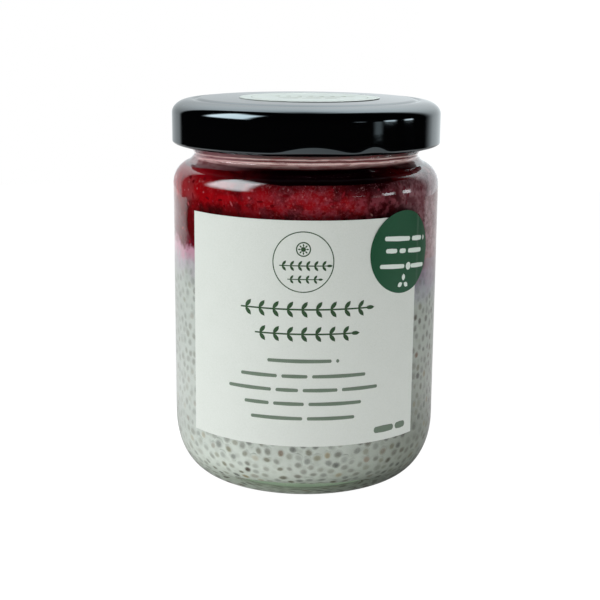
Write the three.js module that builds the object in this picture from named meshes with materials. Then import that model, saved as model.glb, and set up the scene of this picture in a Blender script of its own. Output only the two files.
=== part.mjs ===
// Chia pudding under a berry compote, in a shut glass jar with a twist-off lid.
//
// Millimetres, +Z up. The origin is the middle of the jar's base, on the table.
// The paper label faces -Y. Angles run from the front (-Y) towards +X.

import * as THREE from "three";

// Jar: a straight round body between a soft heel and a rounded shoulder
const BODY_RADIUS = 34.5;
const FOOT_OUTER_RADIUS = 25.1;
const FOOT_INNER_RADIUS = 21.5;
const FOOT_EDGE_HEIGHT = 0.3;
const FOOT_EDGE_WIDTH = 0.6;
const PUNT_HEIGHT = 1.4;
const HEEL_TOP = 14.8;
const SHOULDER_BOTTOM = 76.75;
const SHOULDER_WIDTH = 5.2;
const SHOULDER_HEIGHT = 5.7;
const SHOULDER_TURN = 75;
const FINISH_RADIUS = 31.2;
const RIM_TOP = 97.2;
const RIM_ROUND = 1.2;

// Jar: the waist of the neck, which flares out again under the lid, as [radius, height]
const NECK_WAIST = [
  [29.9, 82.9],
  [28.95, 84.1],
  [29.2, 85.0],
  [30.2, 86.0],
  [FINISH_RADIUS, 87.0],
];

// Jar: the inside
const WALL = 2.3;
const FLOOR = 5.2;
const INNER_FOOT_RADIUS = 23.0;
const INNER_HEEL_TOP = 16.0;
const INNER_SHOULDER_BOTTOM = 75.8;
const INNER_SHOULDER_TOP = 82.0;
const MOUTH_RADIUS = 27.1;

// Lid: pressed sheet with a rolled bottom edge, and a low panel in the middle of its top
const LID_RADIUS = 34.65;
const LID_SHEET = 0.5;
const LID_BOTTOM = 86.95;
const LID_TOP = 98.2;
const LID_CORNER_WIDTH = 5.0;
const LID_CORNER_HEIGHT = 3.4;
const PANEL_TOP = 98.5;
const PANEL_RADIUS = 27.6;
const GROOVE_RADIUS = 28.6;
const GROOVE_DEPTH = 0.25;
const CURL_WIDTH = 2.4;
const CURL_HEIGHT = 1.0;
const CURL_ROLL = 0.5;
const CURL_TOP = 2.2;

// Lid: three lugs, each between two scallops that press the rolled edge in
const LUG_COUNT = 3;
const FIRST_LUG_ANGLE = 18;
const SCALLOP_OFFSET = 15;
const SCALLOP_HALF_WIDTH = 14;
const SCALLOP_HEIGHT = 2.4;
const SCALLOP_DEPTH = 0.5;
const LUG_DEPTH = 0.3;
const LUG_HALF_WIDTH = 9;

// Contents: the compote lies on the pudding along a gently waved surface
const GAP = 0.3;
const INTERFACE_HEIGHT = 60.4;
const INTERFACE_CROWN = 1.2;
const COMPOTE_TOP = 79.6;
const COMPOTE_RIPPLE = 0.6;
const COMPOTE_RIPPLES = 9;

// Contents: waves along the edge of a layer, as [height, waves per turn, start in radians]
const INTERFACE_WAVES = [
  [1.5, 1, Math.PI],
  [0.6, 3, 0.6],
  [0.5, 5, 2.0],
];
const COMPOTE_LUMPS = [
  [1.35, 4, 1.1],
  [1.05, 7, 0],
];

// Contents: where a layer's top is cut into rings, as shares of its radius
const TOP_RINGS = [1, 0.8, 0.55, 0.3, 0];

// Paper: the front label, the round sticker over its corner, and the round sticker on the lid
const PAPER = 0.2;
const PAPER_GAP = 0.1;
const LABEL_WIDTH = 63.1;
const LABEL_HEIGHT = 56.2;
const LABEL_ANGLE = -0.4;
const LABEL_MIDDLE = 43.8;
const LABEL_TILT = -0.3;
const STICKER_DIAMETER = 20.5;
const STICKER_ANGLE = 43.6;
const STICKER_MIDDLE = 62.9;
const LID_STICKER_DIAMETER = 36.2;
const LID_STICKER_SHIFT = 0.8;

// How finely round things are cut
const ROUND_STEPS = 72;
const LID_STEPS = 74;
const CORNER_STEPS = 5;
const SMALL_CORNER_STEPS = 2;
const CURL_ROLL_STEPS = 3;
const LABEL_COLUMNS = 28;
const STICKER_RINGS = 4;
const STICKER_STEPS = 40;
const LID_STICKER_STEPS = 64;

const glass = new THREE.MeshStandardMaterial({
  color: 0xdfe8e4,
  roughness: 0.05,
  metalness: 0,
  transparent: true,
  opacity: 0.35,
});
const blackLacquer = new THREE.MeshStandardMaterial({ color: 0x0a0b0d, roughness: 0.2, metalness: 0.3 });
const pudding = new THREE.MeshStandardMaterial({ color: 0xc9c6c4, roughness: 0.5, metalness: 0 });
const compote = new THREE.MeshStandardMaterial({ color: 0x7a0a18, roughness: 0.4, metalness: 0 });
const labelPaper = new THREE.MeshStandardMaterial({ color: 0xd9dfd6, roughness: 0.7, metalness: 0 });
const greenPaper = new THREE.MeshStandardMaterial({ color: 0x14452b, roughness: 0.6, metalness: 0 });

const radians = THREE.MathUtils.degToRad;
const smoothstep = THREE.MathUtils.smoothstep;

// Points on a quarter ellipse between two levels, both ends included.
// The centre is (centreRadius, centreHeight), and turns are measured from +radius towards +Z.
function quarterEllipse(
  centreRadius,
  centreHeight,
  halfWidth,
  halfHeight,
  fromTurn,
  toTurn,
  steps = CORNER_STEPS,
) {
  const points = [];
  for (let step = 0; step <= steps; step += 1) {
    const turn = radians(fromTurn + ((toTurn - fromTurn) * step) / steps);
    const radius = centreRadius + halfWidth * Math.cos(turn);
    const height = centreHeight + halfHeight * Math.sin(turn);
    points.push(new THREE.Vector2(radius, height));
  }
  return points;
}

const point = (radius, height) => new THREE.Vector2(radius, height);

// Turns a profile of radius and height about the vertical axis.
function revolve(profile, steps) {
  const geometry = new THREE.LatheGeometry(profile, steps);
  geometry.rotateX(Math.PI / 2);
  return geometry;
}

// Moves every vertex of a turned shape by a rule in radius, height and angle from the front.
function reshape(geometry, rule) {
  const position = geometry.getAttribute("position");
  for (let i = 0; i < position.count; i += 1) {
    const x = position.getX(i);
    const y = position.getY(i);
    const angle = Math.atan2(x, -y);
    const moved = rule(Math.hypot(x, y), position.getZ(i), angle);
    position.setXYZ(i, moved.radius * Math.sin(angle), -moved.radius * Math.cos(angle), moved.height);
  }
  geometry.computeVertexNormals();
  return geometry;
}

// Wraps a flat piece (x along the arc, y up, z outwards) round the jar.
function wrapRoundJar(geometry, innerRadius, middleAngle, middleHeight) {
  const position = geometry.getAttribute("position");
  for (let i = 0; i < position.count; i += 1) {
    const angle = radians(middleAngle) + position.getX(i) / innerRadius;
    const radius = innerRadius + position.getZ(i);
    const height = middleHeight + position.getY(i);
    position.setXYZ(i, radius * Math.sin(angle), -radius * Math.cos(angle), height);
  }
  geometry.computeVertexNormals();
  return geometry;
}

// A flat disc in rings, so that it can be bent: x and y across it, z from 0 to its thickness.
function ringedDisc(diameter, thickness, rings, steps) {
  const radii = [];
  for (let ring = 0; ring <= rings; ring += 1) {
    radii.push(((diameter / 2) * ring) / rings);
  }
  const bottom = radii.map((radius) => point(radius, 0));
  const top = radii.map((radius) => point(radius, thickness));
  return revolve([...bottom, ...top.reverse()], steps);
}

// The inside of the glass from the floor's edge up to a level, drawn in by a margin.
function innerWall(margin, topLevel) {
  const radius = BODY_RADIUS - WALL - margin;
  const footRadius = INNER_FOOT_RADIUS - margin;
  const shoulderRadius = MOUTH_RADIUS - margin;
  const floor = FLOOR + margin;
  const heelHeight = INNER_HEEL_TOP - floor;
  const heel = quarterEllipse(footRadius, INNER_HEEL_TOP, radius - footRadius, heelHeight, -90, 0);
  const shoulder = quarterEllipse(
    shoulderRadius,
    INNER_SHOULDER_BOTTOM,
    radius - shoulderRadius,
    INNER_SHOULDER_TOP - INNER_SHOULDER_BOTTOM,
    0,
    90,
  );
  return [...heel, ...shoulder].filter((p) => p.y <= topLevel);
}

// Radius of the inside of the glass at a height on its shoulder.
function shoulderRadiusAt(height, margin) {
  const radius = BODY_RADIUS - WALL - margin;
  const inner = MOUTH_RADIUS - margin;
  const rise = (height - INNER_SHOULDER_BOTTOM) / (INNER_SHOULDER_TOP - INNER_SHOULDER_BOTTOM);
  return inner + (radius - inner) * Math.sqrt(1 - rise * rise);
}

// Height of a set of waves at an angle.
function wavesAt(waves, angle) {
  let height = 0;
  for (const [amplitude, count, start] of waves) {
    height += amplitude * Math.sin(count * angle + start);
  }
  return height;
}

// Height of the surface between pudding and compote, over the jar's width.
function interfaceAt(radius, angle) {
  const reach = radius / (BODY_RADIUS - WALL);
  const crown = INTERFACE_CROWN * (1 - reach * reach);
  return INTERFACE_HEIGHT + crown + reach * wavesAt(INTERFACE_WAVES, angle);
}

// Height of the compote's own uneven top, over the jar's width.
function compoteTopAt(radius, angle) {
  const reach = radius / (BODY_RADIUS - WALL);
  const ripple = COMPOTE_RIPPLE * Math.cos(COMPOTE_RIPPLES * reach);
  return COMPOTE_TOP + (1 - reach) * (ripple + reach * wavesAt(COMPOTE_LUMPS, angle));
}

// A level crossing of the jar, from the glass to the axis or back, as a few rings.
function crossing(radius, height, inwards) {
  const points = TOP_RINGS.map((share) => point(radius * share, height));
  return inwards ? points : points.reverse();
}

function jarGeometry() {
  const outside = [
    point(0, PUNT_HEIGHT),
    point(FOOT_INNER_RADIUS / 2, (PUNT_HEIGHT + FOOT_EDGE_HEIGHT) / 2 + FOOT_EDGE_HEIGHT),
    point(FOOT_INNER_RADIUS, FOOT_EDGE_HEIGHT),
    point(FOOT_INNER_RADIUS + FOOT_EDGE_WIDTH, 0),
    ...quarterEllipse(FOOT_OUTER_RADIUS, HEEL_TOP, BODY_RADIUS - FOOT_OUTER_RADIUS, HEEL_TOP, -90, 0),
    ...quarterEllipse(
      BODY_RADIUS - SHOULDER_WIDTH,
      SHOULDER_BOTTOM,
      SHOULDER_WIDTH,
      SHOULDER_HEIGHT,
      0,
      SHOULDER_TURN,
    ),
    ...NECK_WAIST.map(([radius, height]) => point(radius, height)),
    ...quarterEllipse(
      FINISH_RADIUS - RIM_ROUND,
      RIM_TOP - RIM_ROUND,
      RIM_ROUND,
      RIM_ROUND,
      0,
      90,
      SMALL_CORNER_STEPS,
    ),
  ];
  const inside = [
    point(MOUTH_RADIUS + RIM_ROUND / 2, RIM_TOP),
    point(MOUTH_RADIUS, RIM_TOP - RIM_ROUND / 2),
    ...innerWall(0, RIM_TOP).reverse(),
    point(0, FLOOR),
  ];
  return revolve([...outside, ...inside], ROUND_STEPS);
}

// How far two angles are apart, in degrees.
function apart(angle, other) {
  return Math.abs(THREE.MathUtils.euclideanModulo(angle - other + 180, 360) - 180);
}

// A soft dent, from 1 at its middle to 0 at its half width and beyond.
function dent(away, halfWidth) {
  return 0.5 + 0.5 * Math.cos(Math.PI * Math.min(1, away / halfWidth));
}

// How far the lugs and the scallops beside them are pressed in at an angle, from 0 to 1.
function pressedAt(angle) {
  const pressed = { lug: 0, scallop: 0 };
  for (let lug = 0; lug < LUG_COUNT; lug += 1) {
    const middle = FIRST_LUG_ANGLE + (360 / LUG_COUNT) * lug;
    pressed.lug += dent(apart(angle, middle), LUG_HALF_WIDTH);
    pressed.scallop += dent(apart(angle, middle - SCALLOP_OFFSET), SCALLOP_HALF_WIDTH);
    pressed.scallop += dent(apart(angle, middle + SCALLOP_OFFSET), SCALLOP_HALF_WIDTH);
  }
  return pressed;
}

function lidGeometry() {
  const curlRadius = LID_RADIUS - CURL_WIDTH;
  const flatRadius = LID_RADIUS - LID_CORNER_WIDTH;
  const innerFlatRadius = flatRadius - LID_SHEET / 2;
  const wallTop = LID_TOP - LID_CORNER_HEIGHT;
  const underside = [
    point(0, PANEL_TOP - LID_SHEET),
    point(PANEL_RADIUS, PANEL_TOP - LID_SHEET),
    point(GROOVE_RADIUS, LID_TOP - GROOVE_DEPTH - LID_SHEET),
    ...quarterEllipse(
      innerFlatRadius,
      wallTop - LID_SHEET,
      LID_RADIUS - LID_SHEET - innerFlatRadius,
      LID_CORNER_HEIGHT,
      90,
      0,
    ),
    point(LID_RADIUS - LID_SHEET, LID_BOTTOM + CURL_TOP),
  ];
  const curl = [
    ...quarterEllipse(curlRadius, LID_BOTTOM + CURL_ROLL, CURL_ROLL, CURL_ROLL, 90, 240, CURL_ROLL_STEPS),
    ...quarterEllipse(curlRadius, LID_BOTTOM + CURL_HEIGHT, CURL_WIDTH, CURL_HEIGHT, -90, 0),
  ];
  const top = [
    point(LID_RADIUS, LID_BOTTOM + SCALLOP_HEIGHT),
    ...quarterEllipse(flatRadius, wallTop, LID_CORNER_WIDTH, LID_CORNER_HEIGHT, 0, 90),
    point(GROOVE_RADIUS, LID_TOP - GROOVE_DEPTH),
    point(PANEL_RADIUS, PANEL_TOP),
    point(0, PANEL_TOP),
  ];
  const pressed = revolve([...underside, ...curl, ...top], LID_STEPS);
  return reshape(pressed, (radius, height, angle) => {
    const low = 1 - smoothstep(height, LID_BOTTOM, LID_BOTTOM + SCALLOP_HEIGHT);
    const outer = smoothstep(radius, curlRadius, LID_RADIUS);
    const inner = 1 - smoothstep(radius, curlRadius - CURL_ROLL, curlRadius);
    const { lug, scallop } = pressedAt(THREE.MathUtils.radToDeg(angle));
    return { radius: radius - low * (outer * SCALLOP_DEPTH * scallop + inner * LUG_DEPTH * lug), height };
  });
}

function puddingGeometry() {
  const wall = innerWall(GAP, INNER_HEEL_TOP);
  const radius = BODY_RADIUS - WALL - GAP;
  const middle = (INNER_HEEL_TOP + INTERFACE_HEIGHT) / 2;
  const profile = [
    point(0, FLOOR + GAP),
    ...wall,
    point(radius, middle),
    ...crossing(radius, INTERFACE_HEIGHT, true),
  ];
  return reshape(revolve(profile, ROUND_STEPS), (r, height, angle) => {
    const onTop = height > INTERFACE_HEIGHT - GAP;
    return { radius: r, height: onTop ? interfaceAt(r, angle) : height };
  });
}

function compoteGeometry() {
  const radius = BODY_RADIUS - WALL - GAP;
  const topRadius = shoulderRadiusAt(COMPOTE_TOP, GAP);
  const middle = (INTERFACE_HEIGHT + INNER_SHOULDER_BOTTOM) / 2;
  const shoulder = innerWall(GAP, COMPOTE_TOP).filter((p) => p.y >= INNER_SHOULDER_BOTTOM);
  const profile = [
    ...crossing(radius, INTERFACE_HEIGHT, false),
    point(radius, middle),
    ...shoulder,
    ...crossing(topRadius, COMPOTE_TOP, true),
  ];
  return reshape(revolve(profile, ROUND_STEPS), (r, height, angle) => {
    const onBottom = height < INTERFACE_HEIGHT + GAP;
    const onTop = height > COMPOTE_TOP - 0.01 && r < topRadius - GAP;
    if (onBottom) return { radius: r, height: interfaceAt(r, angle) + GAP };
    return { radius: r, height: onTop ? compoteTopAt(r, angle) : height };
  });
}

function labelGeometry() {
  const flat = new THREE.BoxGeometry(LABEL_WIDTH, LABEL_HEIGHT, PAPER, LABEL_COLUMNS, 1, 1);
  flat.translate(0, 0, PAPER / 2);
  flat.rotateZ(radians(LABEL_TILT));
  return wrapRoundJar(flat, BODY_RADIUS + PAPER_GAP, LABEL_ANGLE, LABEL_MIDDLE);
}

function stickerGeometry() {
  const flat = ringedDisc(STICKER_DIAMETER, PAPER, STICKER_RINGS, STICKER_STEPS);
  const overLabel = BODY_RADIUS + 2 * PAPER_GAP + PAPER;
  return wrapRoundJar(flat, overLabel, STICKER_ANGLE, STICKER_MIDDLE);
}

function lidStickerGeometry() {
  const flat = ringedDisc(LID_STICKER_DIAMETER, PAPER, 1, LID_STICKER_STEPS);
  flat.translate(LID_STICKER_SHIFT, 0, PANEL_TOP + PAPER_GAP);
  return flat;
}

function addPiece(group, name, geometry, material) {
  const mesh = new THREE.Mesh(geometry, material);
  mesh.name = name;
  group.add(mesh);
}

const jarOfPudding = new THREE.Group();
addPiece(jarOfPudding, "jar", jarGeometry(), glass);
addPiece(jarOfPudding, "lid", lidGeometry(), blackLacquer);
addPiece(jarOfPudding, "chia_pudding", puddingGeometry(), pudding);
addPiece(jarOfPudding, "berry_compote", compoteGeometry(), compote);
addPiece(jarOfPudding, "front_label", labelGeometry(), labelPaper);
addPiece(jarOfPudding, "round_sticker", stickerGeometry(), greenPaper);
addPiece(jarOfPudding, "lid_sticker", lidStickerGeometry(), labelPaper);

export default jarOfPudding;
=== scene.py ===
# %% [markdown]
# # Chia pudding under berry compote, in a shut glass jar
#
# A small preserving jar holds two layers: pale pudding full of swollen chia seeds, and a dark
# red compote on top. A black lid closes it, and three paper pieces sit outside: a label on the
# front, a round green sticker over its corner, and a round sticker on the lid.
#
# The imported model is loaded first. It fixes where every piece is and how large it is, and the
# lesson then builds each piece again with the detail that is seen from a hand's width away.
# +Z is up, the jar stands on Z = 0 and the label faces -Y. Lengths are written in
# millimetres, and MM turns them into Blender's metres. Only the lamps are given in metres.

# %% Load the frame
import itertools
import math
import random

import bpy
import numpy as np
from mathutils import Matrix, Vector


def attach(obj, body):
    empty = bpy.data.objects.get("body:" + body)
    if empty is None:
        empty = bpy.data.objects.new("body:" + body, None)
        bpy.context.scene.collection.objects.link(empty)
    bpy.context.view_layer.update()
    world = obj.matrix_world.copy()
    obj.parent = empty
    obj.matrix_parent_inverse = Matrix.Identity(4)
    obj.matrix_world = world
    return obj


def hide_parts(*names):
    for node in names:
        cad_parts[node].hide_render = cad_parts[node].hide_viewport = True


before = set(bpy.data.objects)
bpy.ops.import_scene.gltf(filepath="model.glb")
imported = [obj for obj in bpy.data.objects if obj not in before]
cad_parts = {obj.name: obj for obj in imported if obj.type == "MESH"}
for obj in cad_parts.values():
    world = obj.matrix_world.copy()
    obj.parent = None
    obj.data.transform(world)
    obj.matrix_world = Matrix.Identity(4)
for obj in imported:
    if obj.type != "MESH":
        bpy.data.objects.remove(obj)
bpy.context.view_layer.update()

MM = 0.001

# %% [markdown]
# ## Helpers for modelling
#
# Operators work on what is selected, and loading leaves the frame selected, so each step picks
# its piece first. Points are picked in code by a test on their place, which does the same as
# clicking them.

# %% Picking, editing and placing pieces
def pick(*pieces):
    """Selects these pieces alone, and makes the first one active."""
    bpy.ops.object.select_all(action="DESELECT")
    for piece in pieces:
        piece.select_set(True)
    bpy.context.view_layer.objects.active = pieces[0] if pieces else None


def set_all(thing, values):
    """Sets several properties by their names."""
    for name, value in values.items():
        setattr(thing, name, value)


def basic_shape(kind, name, **settings):
    """Adds one of Blender's basic shapes under a name."""
    pick()
    getattr(bpy.ops.mesh, f"primitive_{kind}_add")(**settings)
    piece = bpy.context.object
    piece.name = piece.data.name = name
    return piece


def edit(piece):
    """Opens one piece in edit mode."""
    pick(piece)
    bpy.ops.object.mode_set(mode="EDIT")


def leave_edit():
    bpy.ops.object.mode_set(mode="OBJECT")


def select_points(piece, test):
    """Selects the points of the piece in edit mode whose place passes the test."""
    bpy.ops.mesh.select_all(action="DESELECT")
    leave_edit()
    for point in piece.data.vertices:
        point.select = test(point.co)
    bpy.ops.object.mode_set(mode="EDIT")


def settle(piece, **placing):
    """Moves, turns or scales a piece, and writes that into its mesh."""
    pick(piece)
    set_all(piece, placing)
    bpy.ops.object.transform_apply(location=True, rotation=True, scale=True)
    return piece


def apply_modifier(piece, kind, **settings):
    """Adds a modifier, gives it its settings and applies it."""
    pick(piece)
    bpy.ops.object.modifier_add(type=kind)
    set_all(piece.modifiers[-1], settings)
    bpy.ops.object.modifier_apply(modifier=piece.modifiers[-1].name)


def smooth_shading(piece, angle=35):
    """Shades the piece smooth, except where two faces meet at more than the angle."""
    pick(piece)
    bpy.ops.object.shade_smooth_by_angle(angle=math.radians(angle))


def report(piece):
    size = ", ".join(f"{v / MM:.1f}" for v in piece.dimensions)
    print(f"{piece.name}: {size} mm, {len(piece.data.polygons)} faces")


# %% [markdown]
# ## Turned shapes
#
# Jar, lid and both layers are round, so each is turned. The outline of one side is drawn as a
# chain of edges by extruding a single point, and Spin sweeps it round the axis. Outlines are
# written as arcs and corners. A corner with a third number is rounded off over that length.

# %% Arcs, corners and turning
def arc(middle_radius, middle_height, half_width, half_height, start, end, steps=14):
    """Part of an ellipse as (radius, height). 0 degrees points outwards and 90 up."""
    turns = [math.radians(start + (end - start) * step / steps) for step in range(steps + 1)]
    return [
        (middle_radius + half_width * math.cos(t), middle_height + half_height * math.sin(t))
        for t in turns
    ]


def outline(*stretches, steps=5):
    """Joins arcs and corners, and rounds off the corners that name a length."""
    corners = []
    for stretch in stretches:
        corners += [stretch] if isinstance(stretch, tuple) else stretch
    points = []
    for i, corner in enumerate(corners):
        here = Vector(corner[:2])
        if len(corner) == 2:
            points.append(here)
            continue
        before = Vector(corners[i - 1][:2]) - here
        after = Vector(corners[i + 1][:2]) - here
        start = here + before.normalized() * min(corner[2], before.length * 0.5)
        end = here + after.normalized() * min(corner[2], after.length * 0.5)
        for step in range(steps + 1):
            s = step / steps
            points.append(start * (1 - s) ** 2 + here * (2 * s * (1 - s)) + end * s**2)
    return [(p.x, p.y) for p in points]


def turn(name, profile, steps=160, closed=False):
    """Spins an outline round the Z axis, and returns the piece."""
    piece = basic_shape("plane", name, size=MM)
    edit(piece)
    bpy.ops.mesh.merge(type="CENTER")
    place = (0, 0)
    for i, point in enumerate(profile):
        move = ((point[0] - place[0]) * MM, 0, (point[1] - place[1]) * MM)
        if i == 0:
            bpy.ops.transform.translate(value=move)
        else:
            bpy.ops.mesh.extrude_vertices_move(TRANSFORM_OT_translate={"value": move})
        place = point
    if closed:
        ends = [Vector((radius, 0, height)) * MM for radius, height in (profile[0], profile[-1])]
        select_points(piece, lambda co: min((co - end).length for end in ends) < 1e-6)
        bpy.ops.mesh.edge_face_add()
    bpy.ops.mesh.select_all(action="SELECT")
    bpy.ops.mesh.spin(steps=steps, angle=math.tau, center=(0, 0, 0), axis=(0, 0, 1))
    bpy.ops.mesh.select_all(action="SELECT")
    bpy.ops.mesh.remove_doubles(threshold=MM / 1000)
    bpy.ops.mesh.normals_make_consistent(inside=False)
    leave_edit()
    return piece


def reshape(piece, rule):
    """Moves each point by a rule in radius, height and angle from the front towards +X."""
    for point in piece.data.vertices:
        radius = math.hypot(point.co.x, point.co.y) / MM
        angle = math.atan2(point.co.x, -point.co.y)
        radius, height = rule(radius, point.co.z / MM, angle)
        point.co = Vector((radius * math.sin(angle), -radius * math.cos(angle), height)) * MM
    piece.data.update()


# %% [markdown]
# ## The glass jar
#
# The jar was blown in a mould: a thick base with a soft heel, straight sides, a rounded
# shoulder, and a waist that flares out again under the lid. Its section is one outline that
# goes up the outside, over the rim and down the inside. The waist is given by five corners
# that are rounded off until they meet. The base is pushed up a little in the middle, so the
# jar stands on a ring.

# %% Turn the jar
WALL = 2.3
BODY = 34.5
HEEL = (25.1, 14.8)
PUNT = {"radius": 21.5, "edge": 0.3, "height": 1.1}
SHOULDER_BOTTOM = 76.75
SHOULDER = (5.2, 5.7)
WAIST = [(29.9, 82.9), (28.85, 84.1), (29.2, 85.0), (30.2, 86.0), (31.2, 87.0)]
WAIST_ROUNDING = 9
FINISH = 31.2
RIM = 97.2
MOUTH = 27.1
INNER = BODY - WALL
INNER_FOOT = 23.0
FLOOR = 5.2
INNER_HEEL_TOP = 16.0
INNER_SHOULDER_BOTTOM = 75.8
INNER_SHOULDER_TOP = 82.0


def inner_wall(sink=0.0):
    """The inside of the glass, as its heel and its shoulder, sunk into the wall."""
    radius = INNER + sink
    foot, mouth, floor = INNER_FOOT + sink, MOUTH + sink, FLOOR - sink
    heel = arc(foot, INNER_HEEL_TOP, radius - foot, INNER_HEEL_TOP - floor, -90, 0, 18)
    rise = INNER_SHOULDER_TOP - INNER_SHOULDER_BOTTOM
    shoulder = arc(mouth, INNER_SHOULDER_BOTTOM, radius - mouth, rise, 0, 90, 18)
    return heel, shoulder


inner_heel, inner_shoulder = inner_wall()
jar_outline = outline(
    arc(0, PUNT["edge"], PUNT["radius"], PUNT["height"], 90, 0, 8),
    (PUNT["radius"] + 0.6, 0, 0.3),
    arc(HEEL[0], HEEL[1], BODY - HEEL[0], HEEL[1], -90, 0, 22),
    arc(BODY - SHOULDER[0], SHOULDER_BOTTOM, *SHOULDER, 0, 75, 18),
    [(*corner, WAIST_ROUNDING) for corner in WAIST],
    (FINISH, RIM, 1.2),
    (MOUTH, RIM, 0.8),
    inner_shoulder[::-1],
    inner_heel[::-1],
    (0, FLOOR),
)
jar = turn("glass_jar", jar_outline, steps=192)
smooth_shading(jar, 20)
report(jar)

# %% [markdown]
# ## The lid
#
# A twist-off lid is pressed from thin sheet. Its top has a low panel inside a groove, the wall
# is straight, and the bottom edge is rolled into a flat curl. Three lugs that grip the thread
# are pressed inwards, each between a wide and a narrow scallop. The plain lid is turned, and the
# presses are then a rule that moves its points, because the dents fade out in all directions.

# %% Turn the lid
LID = 34.65
SHEET = 0.5
LID_BOTTOM = 86.7
LID_TOP = 98.2
LID_CORNER = (5.0, 3.4)
PANEL = (27.6, 98.5)
GROOVE = (28.6, 97.95)
CURL = (2.4, 1.0)
CURL_ROLL = 0.5
wall_top = LID_TOP - LID_CORNER[1]
inner_corner = LID_CORNER[0] - SHEET / 2
curl_radius = LID - CURL[0]
lid_outline = outline(
    (0, PANEL[1] - SHEET),
    (PANEL[0], PANEL[1] - SHEET, 0.6),
    (GROOVE[0], GROOVE[1] - SHEET, 0.4),
    arc(LID - SHEET - inner_corner, wall_top - SHEET, inner_corner, LID_CORNER[1], 90, 0),
    (LID - SHEET, LID_BOTTOM + 2.2, 0.4),
    arc(curl_radius, LID_BOTTOM + CURL_ROLL, CURL_ROLL, CURL_ROLL, 90, 240, 8),
    arc(curl_radius, LID_BOTTOM + CURL[1], *CURL, -90, 0),
    [(LID, LID_BOTTOM + rise) for rise in np.arange(1.2, 3.4, 0.2)],
    (LID, LID_BOTTOM + 5.0),
    arc(LID - LID_CORNER[0], wall_top, *LID_CORNER, 0, 90, 20),
    (*GROOVE, 0.5),
    (*PANEL, 0.7),
    (0, PANEL[1]),
)
lid = turn("twist_lid", lid_outline, steps=240)

# %% Press the lugs and scallops
LUGS = 3
FIRST_LUG = 18
LUG = {"half_width": 9, "depth": 0.3}
SCALLOPS = ((-15.2, 22), (9.8, 10.5))
SCALLOP = {"height": 2.7, "least": 0.35, "depth": 0.5, "lift": 0.15}


def soft_step(value, low, high):
    share = min(1, max(0, (value - low) / (high - low)))
    return share * share * (3 - 2 * share)


def dent(angle, middle, half_width):
    """How deep a dent is at an angle in degrees: 1 in its middle and 0 past its half width."""
    away = abs((angle - middle + 180) % 360 - 180)
    return 0.5 + 0.5 * math.cos(math.pi * min(1, away / half_width))


def press(radius, height, angle):
    degrees = math.degrees(angle)
    outer = soft_step(radius, curl_radius, LID)
    inner = 1 - soft_step(radius, curl_radius - CURL_ROLL, curl_radius)
    low = 1 - soft_step(height, LID_BOTTOM, LID_BOTTOM + SCALLOP["height"])
    inwards = upwards = 0.0
    for lug in range(LUGS):
        middle = FIRST_LUG + 360 / LUGS * lug
        inwards += low * inner * LUG["depth"] * dent(degrees, middle, LUG["half_width"])
        for offset, half_width in SCALLOPS:
            bell = dent(degrees, middle + offset, half_width)
            reach = SCALLOP["height"] * (SCALLOP["least"] + (1 - SCALLOP["least"]) * bell)
            pressed = outer * bell * (1 - soft_step(height, LID_BOTTOM, LID_BOTTOM + reach))
            inwards += pressed * SCALLOP["depth"]
            upwards += pressed * SCALLOP["lift"]
    return radius - inwards, height + upwards


reshape(lid, press)
smooth_shading(lid, 60)
report(lid)

# %% [markdown]
# ## The two layers
#
# Pudding and compote fill the jar right up to the glass. If a layer stopped at the glass, a
# hair of air would show as a mirror, so both reach a quarter of a millimetre into the wall.
# They meet along a gently waved surface, and the compote's own top is lumpy.

# %% Turn the pudding and the compote
SINK = 0.25
FILL = INNER + SINK
COMPOTE_FILL = FILL + 0.02
INTERFACE = 60.4
BORDER_TILT = 1.5
COMPOTE_TOP = 79.6


def interface_height(radius, angle):
    """Height of the surface between the layers, over the jar's width."""
    reach = radius / INNER
    waves = 0.6 * math.sin(3 * angle + 0.6) + 0.5 * math.sin(5 * angle + 2)
    return INTERFACE + 1.2 * (1 - reach * reach) + reach * (waves - BORDER_TILT * math.sin(angle))


def compote_height(radius, angle):
    """Height of the compote's top, over the jar's width."""
    reach = radius / INNER
    lumps = 0.45 * math.sin(4 * angle + 1.1) + 0.35 * math.sin(7 * angle)
    return COMPOTE_TOP + 0.6 * math.cos(9 * reach) * (1 - reach) + reach * (1 - reach) * 3 * lumps


def across(radius, height, rings=16):
    """A level crossing of the jar from the glass to the axis, in rings."""
    return [(radius * (1 - ring / rings), height) for ring in range(rings + 1)]


def wave_pudding(radius, height, angle):
    if height > INTERFACE - 0.1:
        height = interface_height(radius, angle) + 0.05
    return radius, height


def wave_compote(radius, height, angle):
    if height < INTERFACE + 0.1:
        height = interface_height(radius, angle)
    elif height > COMPOTE_TOP - 0.01 and radius < top_radius - 0.2:
        height = compote_height(radius, angle)
    return radius, height


fill_heel, fill_shoulder = inner_wall(SINK)
pudding_wall = [(0, FLOOR - SINK)] + fill_heel + [(FILL, 30.0), (FILL, 45.0)]
pudding = turn("pudding_layer", pudding_wall + across(FILL, INTERFACE))

compote_side = [point for point in fill_shoulder if point[1] < COMPOTE_TOP]
rise = (COMPOTE_TOP - INNER_SHOULDER_BOTTOM) / (INNER_SHOULDER_TOP - INNER_SHOULDER_BOTTOM)
top_radius = MOUTH + SINK + (INNER - MOUTH) * math.sqrt(1 - rise * rise)
compote_wall = [(COMPOTE_FILL, z) for z in np.arange(INTERFACE + 2, INNER_SHOULDER_BOTTOM, 1.0)]
compote_outline = across(COMPOTE_FILL, INTERFACE)[::-1] + compote_wall + compote_side
compote = turn("compote_layer", compote_outline + across(top_radius, COMPOTE_TOP, 28), steps=200)

for layer, wave in ((pudding, wave_pudding), (compote, wave_compote)):
    reshape(layer, wave)
    smooth_shading(layer)
    report(layer)

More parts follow.
